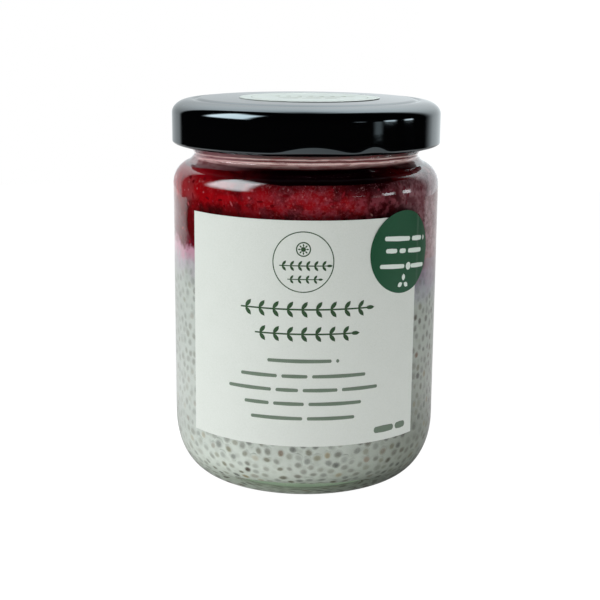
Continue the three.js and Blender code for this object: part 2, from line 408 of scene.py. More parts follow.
# %% [markdown]
# Above the compote a film of juice clings to the glass: dark over the shoulder, and frothy in
# the neck. The film is a thin turned shell that is sunk into the wall like the layers, and it
# starts a little below the compote's top, so no bare strip is left between them.

# %% Turn the juice film
FILM_BOTTOM = 79.35
FILM_TOP = 88.5


def film_side(sink):
    """One side of the film: over the shoulder's inside, round its corner and up the neck."""
    width = INNER - MOUTH + sink
    rise = INNER_SHOULDER_TOP - INNER_SHOULDER_BOTTOM + sink
    start = math.degrees(math.asin((FILM_BOTTOM - INNER_SHOULDER_BOTTOM) / rise))
    end = math.degrees(math.acos(max(0, sink) / width))
    over = arc(MOUTH, INNER_SHOULDER_BOTTOM, width, rise, start, end, 16)
    neck = np.linspace(INNER_SHOULDER_TOP + sink, FILM_TOP, 22)
    return over + [(MOUTH + sink, height) for height in neck[sink > 0 :]]


def wave_film(radius, height, angle):
    if height < FILM_BOTTOM + 0.1:
        height += 0.12 * math.sin(5 * angle + 0.4) + 0.08 * math.sin(11 * angle + 2)
    return radius, height


film = turn("juice_film", film_side(SINK) + film_side(-SINK)[::-1], closed=True)
reshape(film, wave_film)
smooth_shading(film)
report(film)

# %% [markdown]
# ## Seeds in the gel
#
# A soaked chia seed is an oval grain of about two millimetres in a coat of clear gel. Against
# the glass only the grains that touch it are seen, so they are low domes on the pudding's
# side. One seed is modelled from a sphere that is cut in half. Thousands of copies are then
# written into one mesh, each with its own size, turn, tone and depth in the gel.

# %% Model one seed
seed = basic_shape("uv_sphere", "one_seed", segments=10, ring_count=8, radius=MM)
edit(seed)
bpy.ops.mesh.select_all(action="SELECT")
bpy.ops.mesh.bisect(
    plane_co=(0, 0, 0), plane_no=(0, 0, 1), use_fill=True, clear_inner=True, threshold=MM / 1000
)
leave_edit()
report(seed)


# %% Copy the seed to many spots
def scatter(name, spots):
    """One mesh with a copy of the seed at each spot.

    A spot is (place, outward normal, turn, (length, width, height), tone, cover). Tone and
    cover are kept as point attributes, and rim runs from 0 on top to 1 at the edge."""
    points = np.array([v.co for v in seed.data.vertices]) / MM
    faces = [list(p.vertices) for p in seed.data.polygons]
    count = len(points)
    places = []
    for place, normal, spin, size, _, _ in spots:
        side = Vector((0, 0, 1)) if abs(normal.z) < 0.9 else Vector((1, 0, 0))
        first = normal.cross(side).normalized()
        along = first * math.cos(spin) + normal.cross(first) * math.sin(spin)
        axes = np.array([along * size[0], normal.cross(along) * size[1], normal * size[2]])
        places.append(points @ axes + np.array(place))
    mesh = bpy.data.meshes.new(name)
    all_faces = [[i + count * n for i in face] for n in range(len(spots)) for face in faces]
    mesh.from_pydata((np.concatenate(places) * MM).tolist(), [], all_faces)
    attributes = {
        "rim": np.tile(np.hypot(points[:, 0], points[:, 1]), len(spots)),
        "tone": np.repeat([spot[4] for spot in spots], count),
        "cover": np.repeat([spot[5] for spot in spots], count),
    }
    for label, values in attributes.items():
        layer = mesh.attributes.new(label, "FLOAT", "POINT")
        layer.data.foreach_set("value", np.asarray(values, np.float32))
    mesh.shade_smooth()
    piece = bpy.data.objects.new(name, mesh)
    bpy.context.collection.objects.link(piece)
    report(piece)
    return piece


# %% Find spots on a turned side
def side_points(path, spacing, tries, top=None):
    """Random spots with their normals, none nearer to another than the spacing."""
    path = [Vector(p) for p in path]
    areas = [(b - a).length * (a.x + b.x) for a, b in zip(path, path[1:])]
    found, cells = [], {}
    for _ in range(tries):
        i = rng.choices(range(len(areas)), areas)[0]
        share, angle = rng.random(), rng.uniform(-math.pi, math.pi)
        flat = path[i].lerp(path[i + 1], share)
        if top is not None and flat.y > top(angle):
            continue
        run = (path[i + 1] - path[i]).normalized()
        normal = Vector((run.y * math.sin(angle), -run.y * math.cos(angle), -run.x))
        place = Vector((flat.x * math.sin(angle), -flat.x * math.cos(angle), flat.y))
        cell = [int(v // spacing) for v in place]
        near = (
            other
            for offset in itertools.product((-1, 0, 1), repeat=3)
            for other in cells.get(tuple(c + o for c, o in zip(cell, offset)), ())
        )
        if all((place - other).length > spacing for other in near):
            cells.setdefault(tuple(cell), []).append(place)
            found.append((place, normal))
    return found


def grain_spots(points, draw_outline, draw_height):
    """Gives each spot on a side its grain: a size, a turn, a tone and a cover."""
    spots = []
    for place, normal in points:
        length, width = draw_outline()
        spin = rng.uniform(0, math.pi)
        size = (length, width, draw_height())
        spots.append((place - normal * SEED_SINK, normal, spin, size, rng.random(), rng.random()))
    return spots


# %% Spread seeds over the pudding's side
SEED_SPACING = 2.05
SEED_SINK = 0.1
rng = random.Random(11)


def seed_outline():
    length = rng.gauss(1.46, 0.14)
    return length, length * rng.uniform(0.78, 0.97)


seed_path = [(4.0, FLOOR - SINK)] + fill_heel + [(FILL, INTERFACE + 2)]
seed_points = side_points(
    seed_path, SEED_SPACING, 40000, top=lambda angle: interface_height(INNER, angle) - 0.8
)
seed_spots = grain_spots(seed_points, seed_outline, lambda: rng.uniform(0.17, 0.23))
seeds = scatter("chia_seeds", seed_spots)

# %% [markdown]
# Pips and shreds of flesh lie against the glass in the compote. They use the same grain, some
# of them drawn out long and thin.

# %% Spread pips and shreds over the compote's side
PULP_SPACING = 1.7
PIP_SHARE = 0.7
PULP_HEIGHT = 0.16


def pulp_outline():
    if rng.random() < PIP_SHARE:
        length = rng.uniform(0.4, 0.65)
        return length, length * 0.75
    return rng.uniform(0.6, 1.1), rng.uniform(0.3, 0.5)


pulp_path = [(COMPOTE_FILL, INTERFACE + 2), (COMPOTE_FILL, INNER_SHOULDER_BOTTOM)]
pulp_points = side_points(pulp_path + compote_side[2:], PULP_SPACING, 1500)
pulp = scatter("berry_pulp", grain_spots(pulp_points, pulp_outline, lambda: PULP_HEIGHT))
bpy.data.objects.remove(seed)

# %% [markdown]
# ## Paper pieces
#
# Label and stickers are cut flat, and their print is drawn flat as well: thin bars stand for
# lines of writing, and garlands, leaves and rings for ornaments. The label and the green sticker
# are then stood up and bent round the jar with Simple Deform, which keeps lengths along the
# sheet true, and the lid's sticker is laid flat on the lid. The print is a film of ink of its own
# on the paper, so its edges stay crisp however near one looks.

# %% Draw flat shapes
PAPER = 0.14
INK = 0.02
INK_LIFT = 0.004


def flat_disc(x, y, radius, points=24):
    shape = basic_shape("circle", "disc", vertices=points, radius=radius * MM, fill_type="NGON")
    return settle(shape, location=(x * MM, y * MM, 0))


def pull_ends(shape, past, by):
    """Moves the points beyond a distance from the middle outwards, at the left and right."""
    edit(shape)
    for side in (-1, 1):
        select_points(shape, lambda co: co.x * side > past)
        bpy.ops.transform.translate(value=(side * by * MM, 0, 0))
    leave_edit()


def bar(x, y, width, height):
    """A level bar with round ends, its middle at (x, y)."""
    shape = flat_disc(0, 0, height / 2, 12)
    pull_ends(shape, 1e-6, (width - height) / 2)
    return settle(shape, location=(x * MM, y * MM, 0))


def leaf(x, y, length, width, turned):
    """A pointed oval that starts at (x, y) and reaches out in the turned direction."""
    shape = settle(flat_disc(0, 0, 1.0, 16), scale=(length * 0.4, width * 0.5, 1))
    pull_ends(shape, length * 0.39 * MM, length * 0.1)
    middle = (x + length / 2 * math.cos(turned), y + length / 2 * math.sin(turned))
    place = (middle[0] * MM, middle[1] * MM, 0)
    return settle(shape, rotation_euler=(0, 0, turned), location=place)


def ring(x, y, radius, stroke):
    """A thin ring: a circle whose edge is extruded and drawn in."""
    shape = basic_shape("circle", "ring", vertices=120, radius=radius * MM, fill_type="NOTHING")
    edit(shape)
    bpy.ops.mesh.select_all(action="SELECT")
    bpy.ops.mesh.extrude_edges_move()
    inward = 1 - stroke / radius
    bpy.ops.transform.resize(value=(inward, inward, 1), center_override=(0, 0, 0))
    bpy.ops.mesh.select_all(action="SELECT")
    bpy.ops.mesh.normals_make_consistent(inside=False)
    leave_edit()
    return settle(shape, location=(x * MM, y * MM, 0))


def join(name, shapes):
    pick(*shapes)
    bpy.ops.object.join()
    piece = bpy.context.object
    piece.name = piece.data.name = name
    return piece


# %% Compose ornaments from flat shapes
def garland(x, y, length, pairs, leaf_length, leaf_width, stroke):
    """A level stem with leaves in pairs that lean towards its right end."""
    shapes = [bar(x, y, length, stroke)]
    for pair in range(pairs):
        place = x - length / 2 + length * (pair + 0.35) / pairs
        for lean in (-1, 1):
            shapes.append(leaf(place, y, leaf_length, leaf_width, lean * math.radians(52)))
    shapes.append(leaf(x + length / 2 - 0.3, y, leaf_length, leaf_width, 0))
    return shapes


def leaves_round(x, y, count, start_radius, length, width, first_turn=0.0):
    """Leaves that point outwards round a middle."""
    shapes = []
    for i in range(count):
        turned = first_turn + math.tau * i / count
        start = (x + start_radius * math.cos(turned), y + start_radius * math.sin(turned))
        shapes.append(leaf(*start, length, width, turned))
    return shapes


def word_row(x, y, words, height, gap):
    """Bars in a row for words of these lengths, with the row's middle at x."""
    left = x - (sum(words) + gap * (len(words) - 1)) / 2
    shapes = []
    for word in words:
        shapes.append(bar(left + word / 2, y, word, height))
        left += word + gap
    return shapes


def draw_all(draw, rows):
    """Draws one ornament for each row of its numbers."""
    return [shape for row in rows for shape in draw(*row)]


# %% Cut, bend and thicken a sheet
CUT_SHIFT = 0.37


def cut_across(piece, spacing=1.0):
    """Cuts a flat piece into narrow columns, so that it can be bent.

    The cuts are shifted, so that none of them runs along points that are already there."""
    edit(piece)
    reach = math.ceil(max(abs(v.co.x) for v in piece.data.vertices) / MM)
    for column in np.arange(-reach, reach, spacing) + CUT_SHIFT:
        bpy.ops.mesh.select_all(action="SELECT")
        bpy.ops.mesh.bisect(plane_co=(column * MM, 0, 0), plane_no=(1, 0, 0), threshold=1e-9)
    leave_edit()


def sink_rings_and_discs(piece):
    """Turns rings and discs face down, so that their ink is thickened into the paper.

    They are still selected whole, while bars and leaves have only one end selected."""
    edit(piece)
    bpy.ops.mesh.flip_normals()
    leave_edit()


def tilt(piece, sheet):
    settle(piece, rotation_euler=(0, 0, math.radians(sheet["tilt"])))


def wrap_round_jar(piece, radius, sheet, thickness):
    """Stands a flat piece up, bends it round the jar and gives it its thickness."""
    settle(piece, rotation_euler=(math.pi / 2, 0, 0))
    bend = piece.dimensions.x / (radius * MM)
    apply_modifier(piece, "SIMPLE_DEFORM", deform_method="BEND", deform_axis="Z", angle=bend)
    settle(piece, location=(0, -radius * MM, sheet["middle"] * MM))
    settle(piece, rotation_euler=(0, 0, math.radians(sheet["angle"])))
    apply_modifier(piece, "SOLIDIFY", thickness=thickness * MM, offset=1)
    report(piece)


# %% Cut the front label
LABEL = {"width": 63.1, "height": 56.2, "angle": -0.4, "middle": 43.8, "tilt": -0.3}
LABEL_RADIUS = BODY + 0.02
label = basic_shape("grid", "label_sheet", x_subdivisions=64, y_subdivisions=24, size=MM)
settle(label, scale=(LABEL["width"], LABEL["height"], 1))
tilt(label, LABEL)
wrap_round_jar(label, LABEL_RADIUS, LABEL, PAPER)
smooth_shading(label)

# %% [markdown]
# ## The print on the label
#
# Where the label carries writing, this jar carries ornament of the same colour, size and
# weight: a rosette and two short garlands in a ring, two long garlands, and rows of bars as a
# designer sets them for text that is still to be written.

# %% Draw the label's print
RING_PLACE = (-0.4, 18.1)
ROSETTE_PLACE = (-0.4, 21.2)
ROSETTE_MIDDLE = 0.6
GARLANDS = [
    (-0.4, 17.2, 11.6, 6, 1.6, 0.62, 0.28),
    (-0.4, 13.9, 7.6, 4, 1.3, 0.55, 0.25),
    (-0.2, 6.5, 31.6, 9, 2.5, 1.0, 0.42),
    (-0.2, 0.4, 24.0, 7, 2.4, 1.0, 0.42),
]
SMALL_ROWS = [
    (-0.1, -6.35, [15.8, 0.8], 0.95, 1.1),
    (-0.1, -10.2, [9.4, 6.4, 13.6], 0.95, 1.1),
    (-0.1, -13.7, [11.4, 5.6, 8.6, 9.6], 0.95, 1.1),
    (-0.1, -17.2, [6.4, 7.6, 13.4], 0.95, 1.1),
    (-0.1, -20.9, [13.0, 12.0], 0.95, 1.1),
    (23.7, -25.2, [6.2, 3.6], 1.8, 0.6),
]
dark_shapes = [ring(*RING_PLACE, 7.45, 0.26), ring(*ROSETTE_PLACE, 1.8, 0.3)]
dark_shapes += [flat_disc(*ROSETTE_PLACE, ROSETTE_MIDDLE)]
dark_shapes += leaves_round(*ROSETTE_PLACE, 8, ROSETTE_MIDDLE, 0.75, 0.36)
label_dark = join("label_print_dark", dark_shapes + draw_all(garland, GARLANDS))
label_small = join("label_print_small", draw_all(word_row, SMALL_ROWS))
for print_piece in (label_dark, label_small):
    sink_rings_and_discs(print_piece)
    cut_across(print_piece)
    tilt(print_piece, LABEL)
    wrap_round_jar(print_piece, LABEL_RADIUS + PAPER + INK_LIFT, LABEL, INK)

# %% [markdown]
# ## The round green sticker
#
# The sticker lies half on the glass and half over the label's edge. It is cut from coated
# paper, so it steps down at that edge. A disc in rings is bent like the label, and its points
# past the edge are then pressed back onto the glass.

# %% Cut and place the sticker
STICKER = {"diameter": 20.5, "angle": 43.6, "middle": 62.9, "tilt": -4.9}
STICKER_RADIUS = LABEL_RADIUS + PAPER + 0.03
STEP_DOWN = PAPER - 0.02
STEP_DEGREES = 1.6
MINT_ROWS = [
    (1.0, 3.27, [8.6, 4.4, 0.6], 1.25, 0.75),
    (0.75, 0.26, [3.6, 2.3, 5.8], 1.2, 0.8),
    (-3.3, -3.58, [8.0], 1.15, 0.6),
    (6.1, -3.58, [5.8], 1.15, 0.6),
]
label_edge = LABEL["angle"] + math.degrees(LABEL["width"] / 2 / LABEL_RADIUS)


def press_to_glass(radius, height, angle):
    past = soft_step(math.degrees(angle), label_edge, label_edge + STEP_DEGREES)
    return radius - past * STEP_DOWN, height


def flat_sheet(name, sheet, points):
    radius = sheet["diameter"] / 2 * MM
    return basic_shape("circle", name, vertices=points, radius=radius, fill_type="NGON")


sticker = flat_sheet("green_sticker", STICKER, 96)
cut_across(sticker, 0.5)
wrap_round_jar(sticker, STICKER_RADIUS, STICKER, PAPER)
reshape(sticker, press_to_glass)
smooth_shading(sticker)

mint_shapes = draw_all(word_row, MINT_ROWS) + [flat_disc(2.2, -3.58, 0.95)]
mint_shapes += leaves_round(0.7, -7.55, 3, 0.35, 1.75, 1.15, math.pi / 2)
sticker_print = join("sticker_print", mint_shapes)
sink_rings_and_discs(sticker_print)
tilt(sticker_print, STICKER)
cut_across(sticker_print, 0.5)
wrap_round_jar(sticker_print, STICKER_RADIUS + PAPER + INK_LIFT, STICKER, INK)
reshape(sticker_print, press_to_glass)

# %% Lay the round sticker on the lid
LID_STICKER = {"diameter": 36.2, "shift": 0.8}
LID_STICKER_LIFT = 0.01


def lay_on_lid(piece, height, thickness):
    settle(piece, location=(LID_STICKER["shift"] * MM, 0, height * MM))
    apply_modifier(piece, "SOLIDIFY", thickness=thickness * MM, offset=1)
    report(piece)


lid_sticker = flat_sheet("lid_sticker_sheet", LID_STICKER, 128)
edit(lid_sticker)
for rings in range(3):
    bpy.ops.mesh.inset(thickness=0.5 * MM * (1 + rings * 3))
leave_edit()
lay_on_lid(lid_sticker, PANEL[1] + LID_STICKER_LIFT, PAPER)

faint_shapes = [ring(0, 0, 15.2, 0.3)] + garland(0, 3.0, 20.0, 7, 2.2, 0.9, 0.4)
faint_shapes += word_row(0, -2.2, [6.0, 9.0], 1.1, 1.0)
faint_shapes += word_row(0, -5.2, [4.0, 5.0, 3.0], 0.9, 0.9)
lid_print = join("lid_sticker_print", faint_shapes)
sink_rings_and_discs(lid_print)
lay_on_lid(lid_print, PANEL[1] + LID_STICKER_LIFT + PAPER + INK_LIFT, INK)


# %% [markdown]
# ## Materials
#
# A finish is made of fields: numbers and colours that vary over the piece. Each field is the
# output of a node, and adding, multiplying or mixing fields adds the node that does it.
# Places are in millimetres. Colours are given as they look on screen, from 0 to 255, and
# changed to the linear values that Blender calculates with.

# %% Helpers for nodes
def seen(red, green, blue):
    """A colour as seen on screen, changed to linear light."""
    values = [v / 255 for v in (red, green, blue)]
    return (*[v / 12.92 if v <= 0.04045 else ((v + 0.055) / 1.055) ** 2.4 for v in values], 1)


def feed(node, inputs):
    """Sets a node's inputs: a field or a socket is linked, anything else is a plain value."""
    for name, value in inputs.items():
        if isinstance(value, Field):
            value = value.socket
        if isinstance(value, bpy.types.NodeSocket):
            node.id_data.links.new(value, node.inputs[name])
        else:
            node.inputs[name].default_value = value


def add(tree, kind, inputs=None, **settings):
    """Adds a node with its settings and inputs."""
    node = tree.nodes.new("ShaderNode" + kind)
    set_all(node, settings)
    feed(node, inputs or {})
    return node


def outputs(node):
    """The outputs of a node as fields, by name."""
    return {socket.name: Field(socket) for socket in node.outputs}


class Field:
    """A number, colour or place that varies over a piece: the output of a node."""

    def __init__(self, socket):
        self.socket = socket
        self.tree = socket.id_data

    def calc(self, operation, second=0.0, third=0.0):
        inputs = {0: self, 1: second, 2: third}
        return Field(add(self.tree, "Math", inputs, operation=operation).outputs[0])

    def __add__(self, other):
        return self.calc("ADD", other)

    __radd__ = __add__

    def __sub__(self, other):
        return self.calc("SUBTRACT", other)

    def __rsub__(self, other):
        return self.calc("MULTIPLY_ADD", -1.0, other)

    def __mul__(self, other):
        return self.calc("MULTIPLY", other)

    def ramp(self, low, high, to_low=0.0, to_high=1.0, kind="SMOOTHSTEP"):
        """Goes from one value to another as this one goes from low to high."""
        inputs = {"Value": self, "From Min": low, "From Max": high, "To Min": to_low, "To Max": to_high}
        return outputs(add(self.tree, "MapRange", inputs, interpolation_type=kind))["Result"]

    def between(self, first, second):
        """Goes from one colour to another as this value goes from 0 to 1."""
        first, second = [c if isinstance(c, Field) else seen(*c) for c in (first, second)]
        node = add(self.tree, "Mix", {0: self, 6: first, 7: second}, data_type="RGBA")
        return Field(node.outputs[2])

    def coat(self, share, *colour):
        """Lays a share of another colour over this one: a field, or red, green and blue."""
        return share.between(self, colour[0] if len(colour) == 1 else colour)

    def colours(self, stops, kind="LINEAR"):
        """Turns this value into colours. A stop is where it stands, from 0 to 1, and its colour."""
        node = add(self.tree, "ValToRGB", {0: self})
        node.color_ramp.interpolation = kind
        elements = node.color_ramp.elements
        for i, (share, _) in enumerate(stops):
            (elements[i] if i < 2 else elements.new(share)).position = share
        for element, (_, colour) in zip(elements, stops):
            element.color = seen(*colour)
        return Field(node.outputs["Color"])

    def sides(self):
        """The X, Y and Z of this place."""
        return [Field(socket) for socket in add(self.tree, "SeparateXYZ", {0: self}).outputs]

    def stretch(self, scale):
        node = add(self.tree, "VectorMath", {0: self, 1: scale}, operation="MULTIPLY")
        return Field(node.outputs[0])

    def noise(self, size, detail=3.0, roughness=0.55, distortion=0.0):
        """Noise over this place, with patches of about the given size."""
        inputs = {"Vector": self, "Scale": 1 / size, "Detail": detail}
        inputs |= {"Roughness": roughness, "Distortion": distortion}
        return outputs(add(self.tree, "TexNoise", inputs))["Fac"]

    def dots(self, size, randomness=1.0):
        """How far the nearest of many dots is, which lie about the given size apart."""
        inputs = {"Vector": self, "Scale": 1 / size, "Randomness": randomness}
        return outputs(add(self.tree, "TexVoronoi", inputs))["Distance"]


# %% Helpers for materials and groups
def material(name):
    """A new material, its shader, and the place on the piece."""
    made = bpy.data.materials.new(name)
    made.use_nodes = True
    place = Field(add(made.node_tree, "TexCoord").outputs["Object"])
    return made, made.node_tree.nodes["Principled BSDF"], place.stretch((1 / MM,) * 3)


def bump(shader, height, strength, distance):
    inputs = {"Height": height, "Strength": strength, "Distance": distance * MM}
    feed(shader, {"Normal": add(height.tree, "Bump", inputs).outputs["Normal"]})


def attribute(tree, name):
    return Field(add(tree, "Attribute", attribute_name=name).outputs["Fac"])


def group(name, inputs, results):
    """A node group with named sockets, its inputs as fields, and its output node."""
    made = bpy.data.node_groups.new(name, "ShaderNodeTree")
    for sockets, way in ((inputs, "INPUT"), (results, "OUTPUT")):
        for label, kind in sockets.items():
            made.interface.new_socket(label, in_out=way, socket_type="NodeSocket" + kind)
    given = outputs(made.nodes.new("NodeGroupInput"))
    return made, given, made.nodes.new("NodeGroupOutput")


def use(node_group, place, **inputs):
    """The results of a group at a place."""
    return outputs(add(place.tree, "Group", {"Place": place, **inputs}, node_tree=node_group))


def dress(piece, finish, slot, *replaced):
    """Gives a piece its material and its body, and hides the frame's nodes it stands for.

    The slot is not used.
    """
    piece.data.materials.clear()
    piece.data.materials.append(finish)
    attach(piece, "root")
    if replaced:
        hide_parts(*replaced)
    print(f"{piece.name} is finished in {finish.name}")


# %% [markdown]
# ## Clear glass
#
# Glass bends and mirrors what is behind and around it, and a thick base looks green because
# light loses some red on its way. The shader is a plain glass, with an absorbing volume inside.
# Lamps would only reach the food by chance through a bending surface, so shadow rays and
# diffuse rays go straight through.

# %% Make the glass
glass, shader, place = material("clear_jar_glass")
tree = glass.node_tree
feed(shader, {"Base Color": (1, 1, 1, 1), "Roughness": 0.0, "IOR": 1.5, "Transmission Weight": 1.0})
bump(shader, place.noise(9.0, detail=1.0), 0.05, 1.0)
path = outputs(add(tree, "LightPath"))
straight = path["Is Shadow Ray"].calc("MAXIMUM", path["Is Diffuse Ray"])
clear = add(tree, "BsdfTransparent").outputs[0]
surface = add(tree, "MixShader", {0: straight, 1: shader.outputs[0], 2: clear})
absorb = add(tree, "VolumeAbsorption", {"Color": (0.88, 0.95, 0.84, 1), "Density": 60.0})
feed(tree.nodes["Material Output"], {"Surface": surface.outputs[0], "Volume": absorb.outputs[0]})
dress(jar, glass, "clear_glass", "jar")

# %% [markdown]
# ## Black lacquer
#
# The lid is painted a deep black and stoved hard, so it is a clean mirror. Up close it has a
# little dust and very fine rubbing, which only show in the gloss.

# %% Make the lacquer
lacquer, shader, place = material("black_lid_lacquer")
dust = place.noise(0.5, detail=6.0, roughness=0.7).ramp(0.64, 0.74)
feed(shader, {
    "Base Color": dust.between((2.6, 2.6, 3.3), (12.9, 12.9, 12.9)),
    "Roughness": place.noise(6.0, detail=5.0).ramp(0.4, 0.75, 0.04, 0.08),
    "IOR": 1.65,
    "Specular Tint": (0.78, 0.93, 1.0, 1),
})
bump(shader, place.noise(2.5, detail=2.0), 0.03, 0.2)
dress(lid, lacquer, "black_lacquer", "lid")

# %% [markdown]
# ## Berry bleed
#
# Juice from the compote stains the top of the pudding: raspberry at the border, then pink, then
# lilac, and at last nothing. The stain is one group, so both layers and the seeds agree on it.
# It reads the height above the border, shifted by noise so that the edge is uneven. At the
# right the juice has sunk further, and there its colours are painted duller and greyer, as shade.

# %% Build the bleed group
SUNK_AT_RIGHT = 0.11
bleed_group, given, result = group(
    "berry_bleed", {"Place": "Vector"}, {"Amount": "Float", "Stain": "Color", "Above": "Float"}
)
x, y, z = given["Place"].sides()
level = z + x * (BORDER_TILT / INNER) + x.calc("MAXIMUM") * SUNK_AT_RIGHT
level = level + (given["Place"].noise(6.0, detail=4.0) - 0.5) * 8
level = level + (given["Place"].noise(1.5) - 0.5) * 3.5


def over_border(start, end):
    return level.ramp(INTERFACE + start, INTERFACE + end)


# Painted shade: the stain turns duller and greyer towards the right.
stain_shade_right = x.ramp(17, 26)
lilac = stain_shade_right.between((192, 184, 194), (158, 158, 168))
pink = stain_shade_right.between((206, 156, 178), (154, 138, 154))
berry = stain_shade_right.between((110, 16, 40), (140, 112, 126))
stain = over_border(-5.0, -0.8).between(lilac, pink).coat(over_border(-0.8, 2.2), berry)
feed(result, {"Amount": over_border(-10.0, -3.5), "Stain": stain, "Above": over_border(1.0, 4.0)})
print(f"{bleed_group.name}: {len(bleed_group.nodes)} nodes")

# %% [markdown]
# ## The gel
#
# Between the seeds lies milky gel. It is nearly white where it is thick and greyer round
# seeds that sit deeper, which show as soft spots. Painted shade darkens it towards the right,
# low down and at the far left edge, and at the heel a painted light stands in for the table
# lighting it from below. Seeds use the same group at their rims, so that they melt into the gel.

# %% Build the gel group
gel_group, given, result = group("pudding_gel", {"Place": "Vector"}, {"Colour": "Color", "Relief": "Float"})
x, y, z = given["Place"].sides()
in_front = y.ramp(0, 16, 1.0, 0.3)
cloud = given["Place"].noise(3.0, detail=4.0)
deep_seeds = given["Place"].dots(2.1, randomness=0.9).ramp(0.18, 0.5, 0.35, 0.0)
milk = cloud.between((200, 206, 201), (220, 226, 222)).coat(deep_seeds, 152, 156, 148)
# Painted shade towards the right and low down, and painted light at the heel.
painted_shade_right = in_front * x.ramp(-4, 30, 0.0, 0.52)
painted_shade_low = z.ramp(9, 28, 0.4, 0.0) * x.ramp(-28, 0)
painted_shade_low_right = in_front * x.ramp(8, 28, 0.0, 0.42) * z.ramp(18, 44, 1.0, 0.0)
painted_heel_light = z.ramp(6, 13, 0.34, 0.0) * x.ramp(-8, 14, 1.0, 0.0)
milk = milk.coat(painted_shade_right, 114, 120, 108)
# Painted shade at the far left edge.
milk = milk.coat(x.ramp(-32, -16, 0.5, 0.0), 186, 191, 188)
milk = milk.coat(painted_shade_low, 134, 140, 130)
milk = milk.coat(painted_shade_low_right, 80, 85, 72)
milk = milk.coat(painted_heel_light, 248, 252, 248)
bled = use(bleed_group, given["Place"])
feed(result, {"Colour": milk.coat(bled["Amount"], bled["Stain"]), "Relief": cloud})
print(f"{gel_group.name}: {len(gel_group.nodes)} nodes")

# %% Make the pudding's material
gel, shader, place = material("milky_gel")
here = use(gel_group, place)
feed(shader, {"Base Color": here["Colour"], "Roughness": 0.55, "Specular IOR Level": 0.0})
bump(shader, here["Relief"], 0.25, 0.3)
dress(pudding, gel, "seeded_pudding", "chia_pudding")

# %% [markdown]
# ## Chia seeds
#
# Most seeds look grey, some brown, and a few nearly black. Each copy brings a tone that picks
# its colour and a cover that says how much gel lies over it. Towards the rim the colour turns
# into the gel's own. Towards the right they are painted darker, as shade.

# %% Make the seeds' material
SEED_KINDS = [
    (0.0, (104, 108, 104)),
    (0.28, (122, 124, 116)),
    (0.5, (112, 110, 92)),
    (0.66, (136, 134, 112)),
    (0.74, (92, 84, 68)),
    (0.82, (166, 154, 124)),
    (0.88, (108, 78, 44)),
    (0.92, (72, 60, 48)),
    (0.965, (134, 86, 40)),
    (0.98, (34, 32, 30)),
]
seed_skin, shader, place = material("soaked_seed")
tone, cover, rim = [attribute(place.tree, name) for name in ("tone", "cover", "rim")]
x, y, z = place.sides()
skin = tone.colours(SEED_KINDS, "CONSTANT")
skin = skin.coat(place.noise(0.7, detail=2.0).ramp(0.35, 0.7, 0.0, 0.3), 150, 152, 142)
skin = skin.coat(rim.ramp(0.1, 0.5, 0.15, 0.0), 60, 56, 48)
# Painted shade: seeds turn darker towards the right.
skin = skin.coat(x.ramp(-6, 26, 0.0, 0.5), 62, 64, 54)
stained = use(bleed_group, place)["Amount"]
bare = rim.ramp(0.3, 0.88, 1.0, 0.0) * cover.ramp(0.0, 1.0, 1.0, 0.5)
bare = bare * (stained * -0.75 + 1.0) * x.ramp(-31, -14, 0.45, 1.0)
skin = use(gel_group, place)["Colour"].coat(bare, skin)
feed(shader, {"Base Color": skin, "Roughness": 0.5, "Specular IOR Level": 0.0})
dress(seeds, seed_skin, "seeded_pudding")

# %% [markdown]
# ## Compote
#
# The compote is mashed berries: bright red where juice lies against the glass and maroon in the
# depth. Noises of several sizes make the blotches, pale threads of flesh, froth near the top and
# pale specks of tiny grains. Light and shade are painted into its colour: brighter at the upper
# left, duller towards the right, darker under the shoulder and on the top face, with a painted
# haze of reflection at the left and right edges. The order of the coats matters: mash first,
# then painted light and shade, then painted haze, froth and the bleed.

# %% Make the compote's material
fruit, shader, place = material("berry_mash")
x, y, z = place.sides()
patches = place.noise(9.0, roughness=0.5, distortion=0.6)
mash = place.noise(3.0, roughness=0.5, distortion=0.5)
clouds = place.noise(1.9)
grains = place.noise(0.45, detail=2.0).ramp(0.52, 0.68, 0.0, 0.36)
froth = place.noise(1.1, detail=6.0, roughness=0.65, distortion=2.4).ramp(0.57, 0.66, 0.0, 0.5)
middle = x.ramp(-16, 2, 0.3, 1.0)
in_front = y.ramp(0, 12, 1.0, 0.0)
red = patches.ramp(0.38, 0.6).between((80, 0, 2), (158, 2, 12))
red = red.coat(mash.ramp(0.5, 0.64, 0.0, 0.7), 58, 0, 4)
red = red.coat(mash.ramp(0.32, 0.46, 0.5, 0.0), 178, 14, 28)
pinkish = clouds.ramp(0.4, 0.66, 0.1, 0.72) * middle * x.ramp(-24, -10, 0.3, 1.0)
red = red.coat(pinkish, 158, 62, 76)
red = red.coat(place.dots(1.1).ramp(0.12, 0.36, 0.5, 0.0) * middle, 196, 84, 92)
red = red.coat(grains * middle, 186, 92, 96)
# Painted shade: duller, darker colours towards the right.
painted_shade_colour = clouds.ramp(0.42, 0.62).between((42, 2, 8), (136, 66, 76))
red = red.coat(in_front * x.ramp(9, 19, 0.0, 0.84), painted_shade_colour)
# Painted shade under the shoulder, at the top of the compote.
red = red.coat(z.ramp(77.2, 79.6, 0.0, 0.55), 50, 2, 8)
low_left = z.ramp(70, 76.3, 0.8, 0.0) * x.ramp(-22, -9, 1.0, 0.2)
red = red.coat(low_left, 72, 0, 4)
# Painted light: brighter red at the upper left.
painted_light_left = z.ramp(73.2, 75.8) * x.ramp(-27, -13, 0.62, 0.0)
red = red.coat(painted_light_left, 184, 8, 20)
# Painted shade under the shoulder, deeper at the right.
painted_shade_under_shoulder = z.ramp(75.5, 79.0, 0.0, 0.8) * x.ramp(3, 12) * x.ramp(17, 23, 1.0, 0.2)
red = red.coat(painted_shade_under_shoulder, 34, 0, 4)
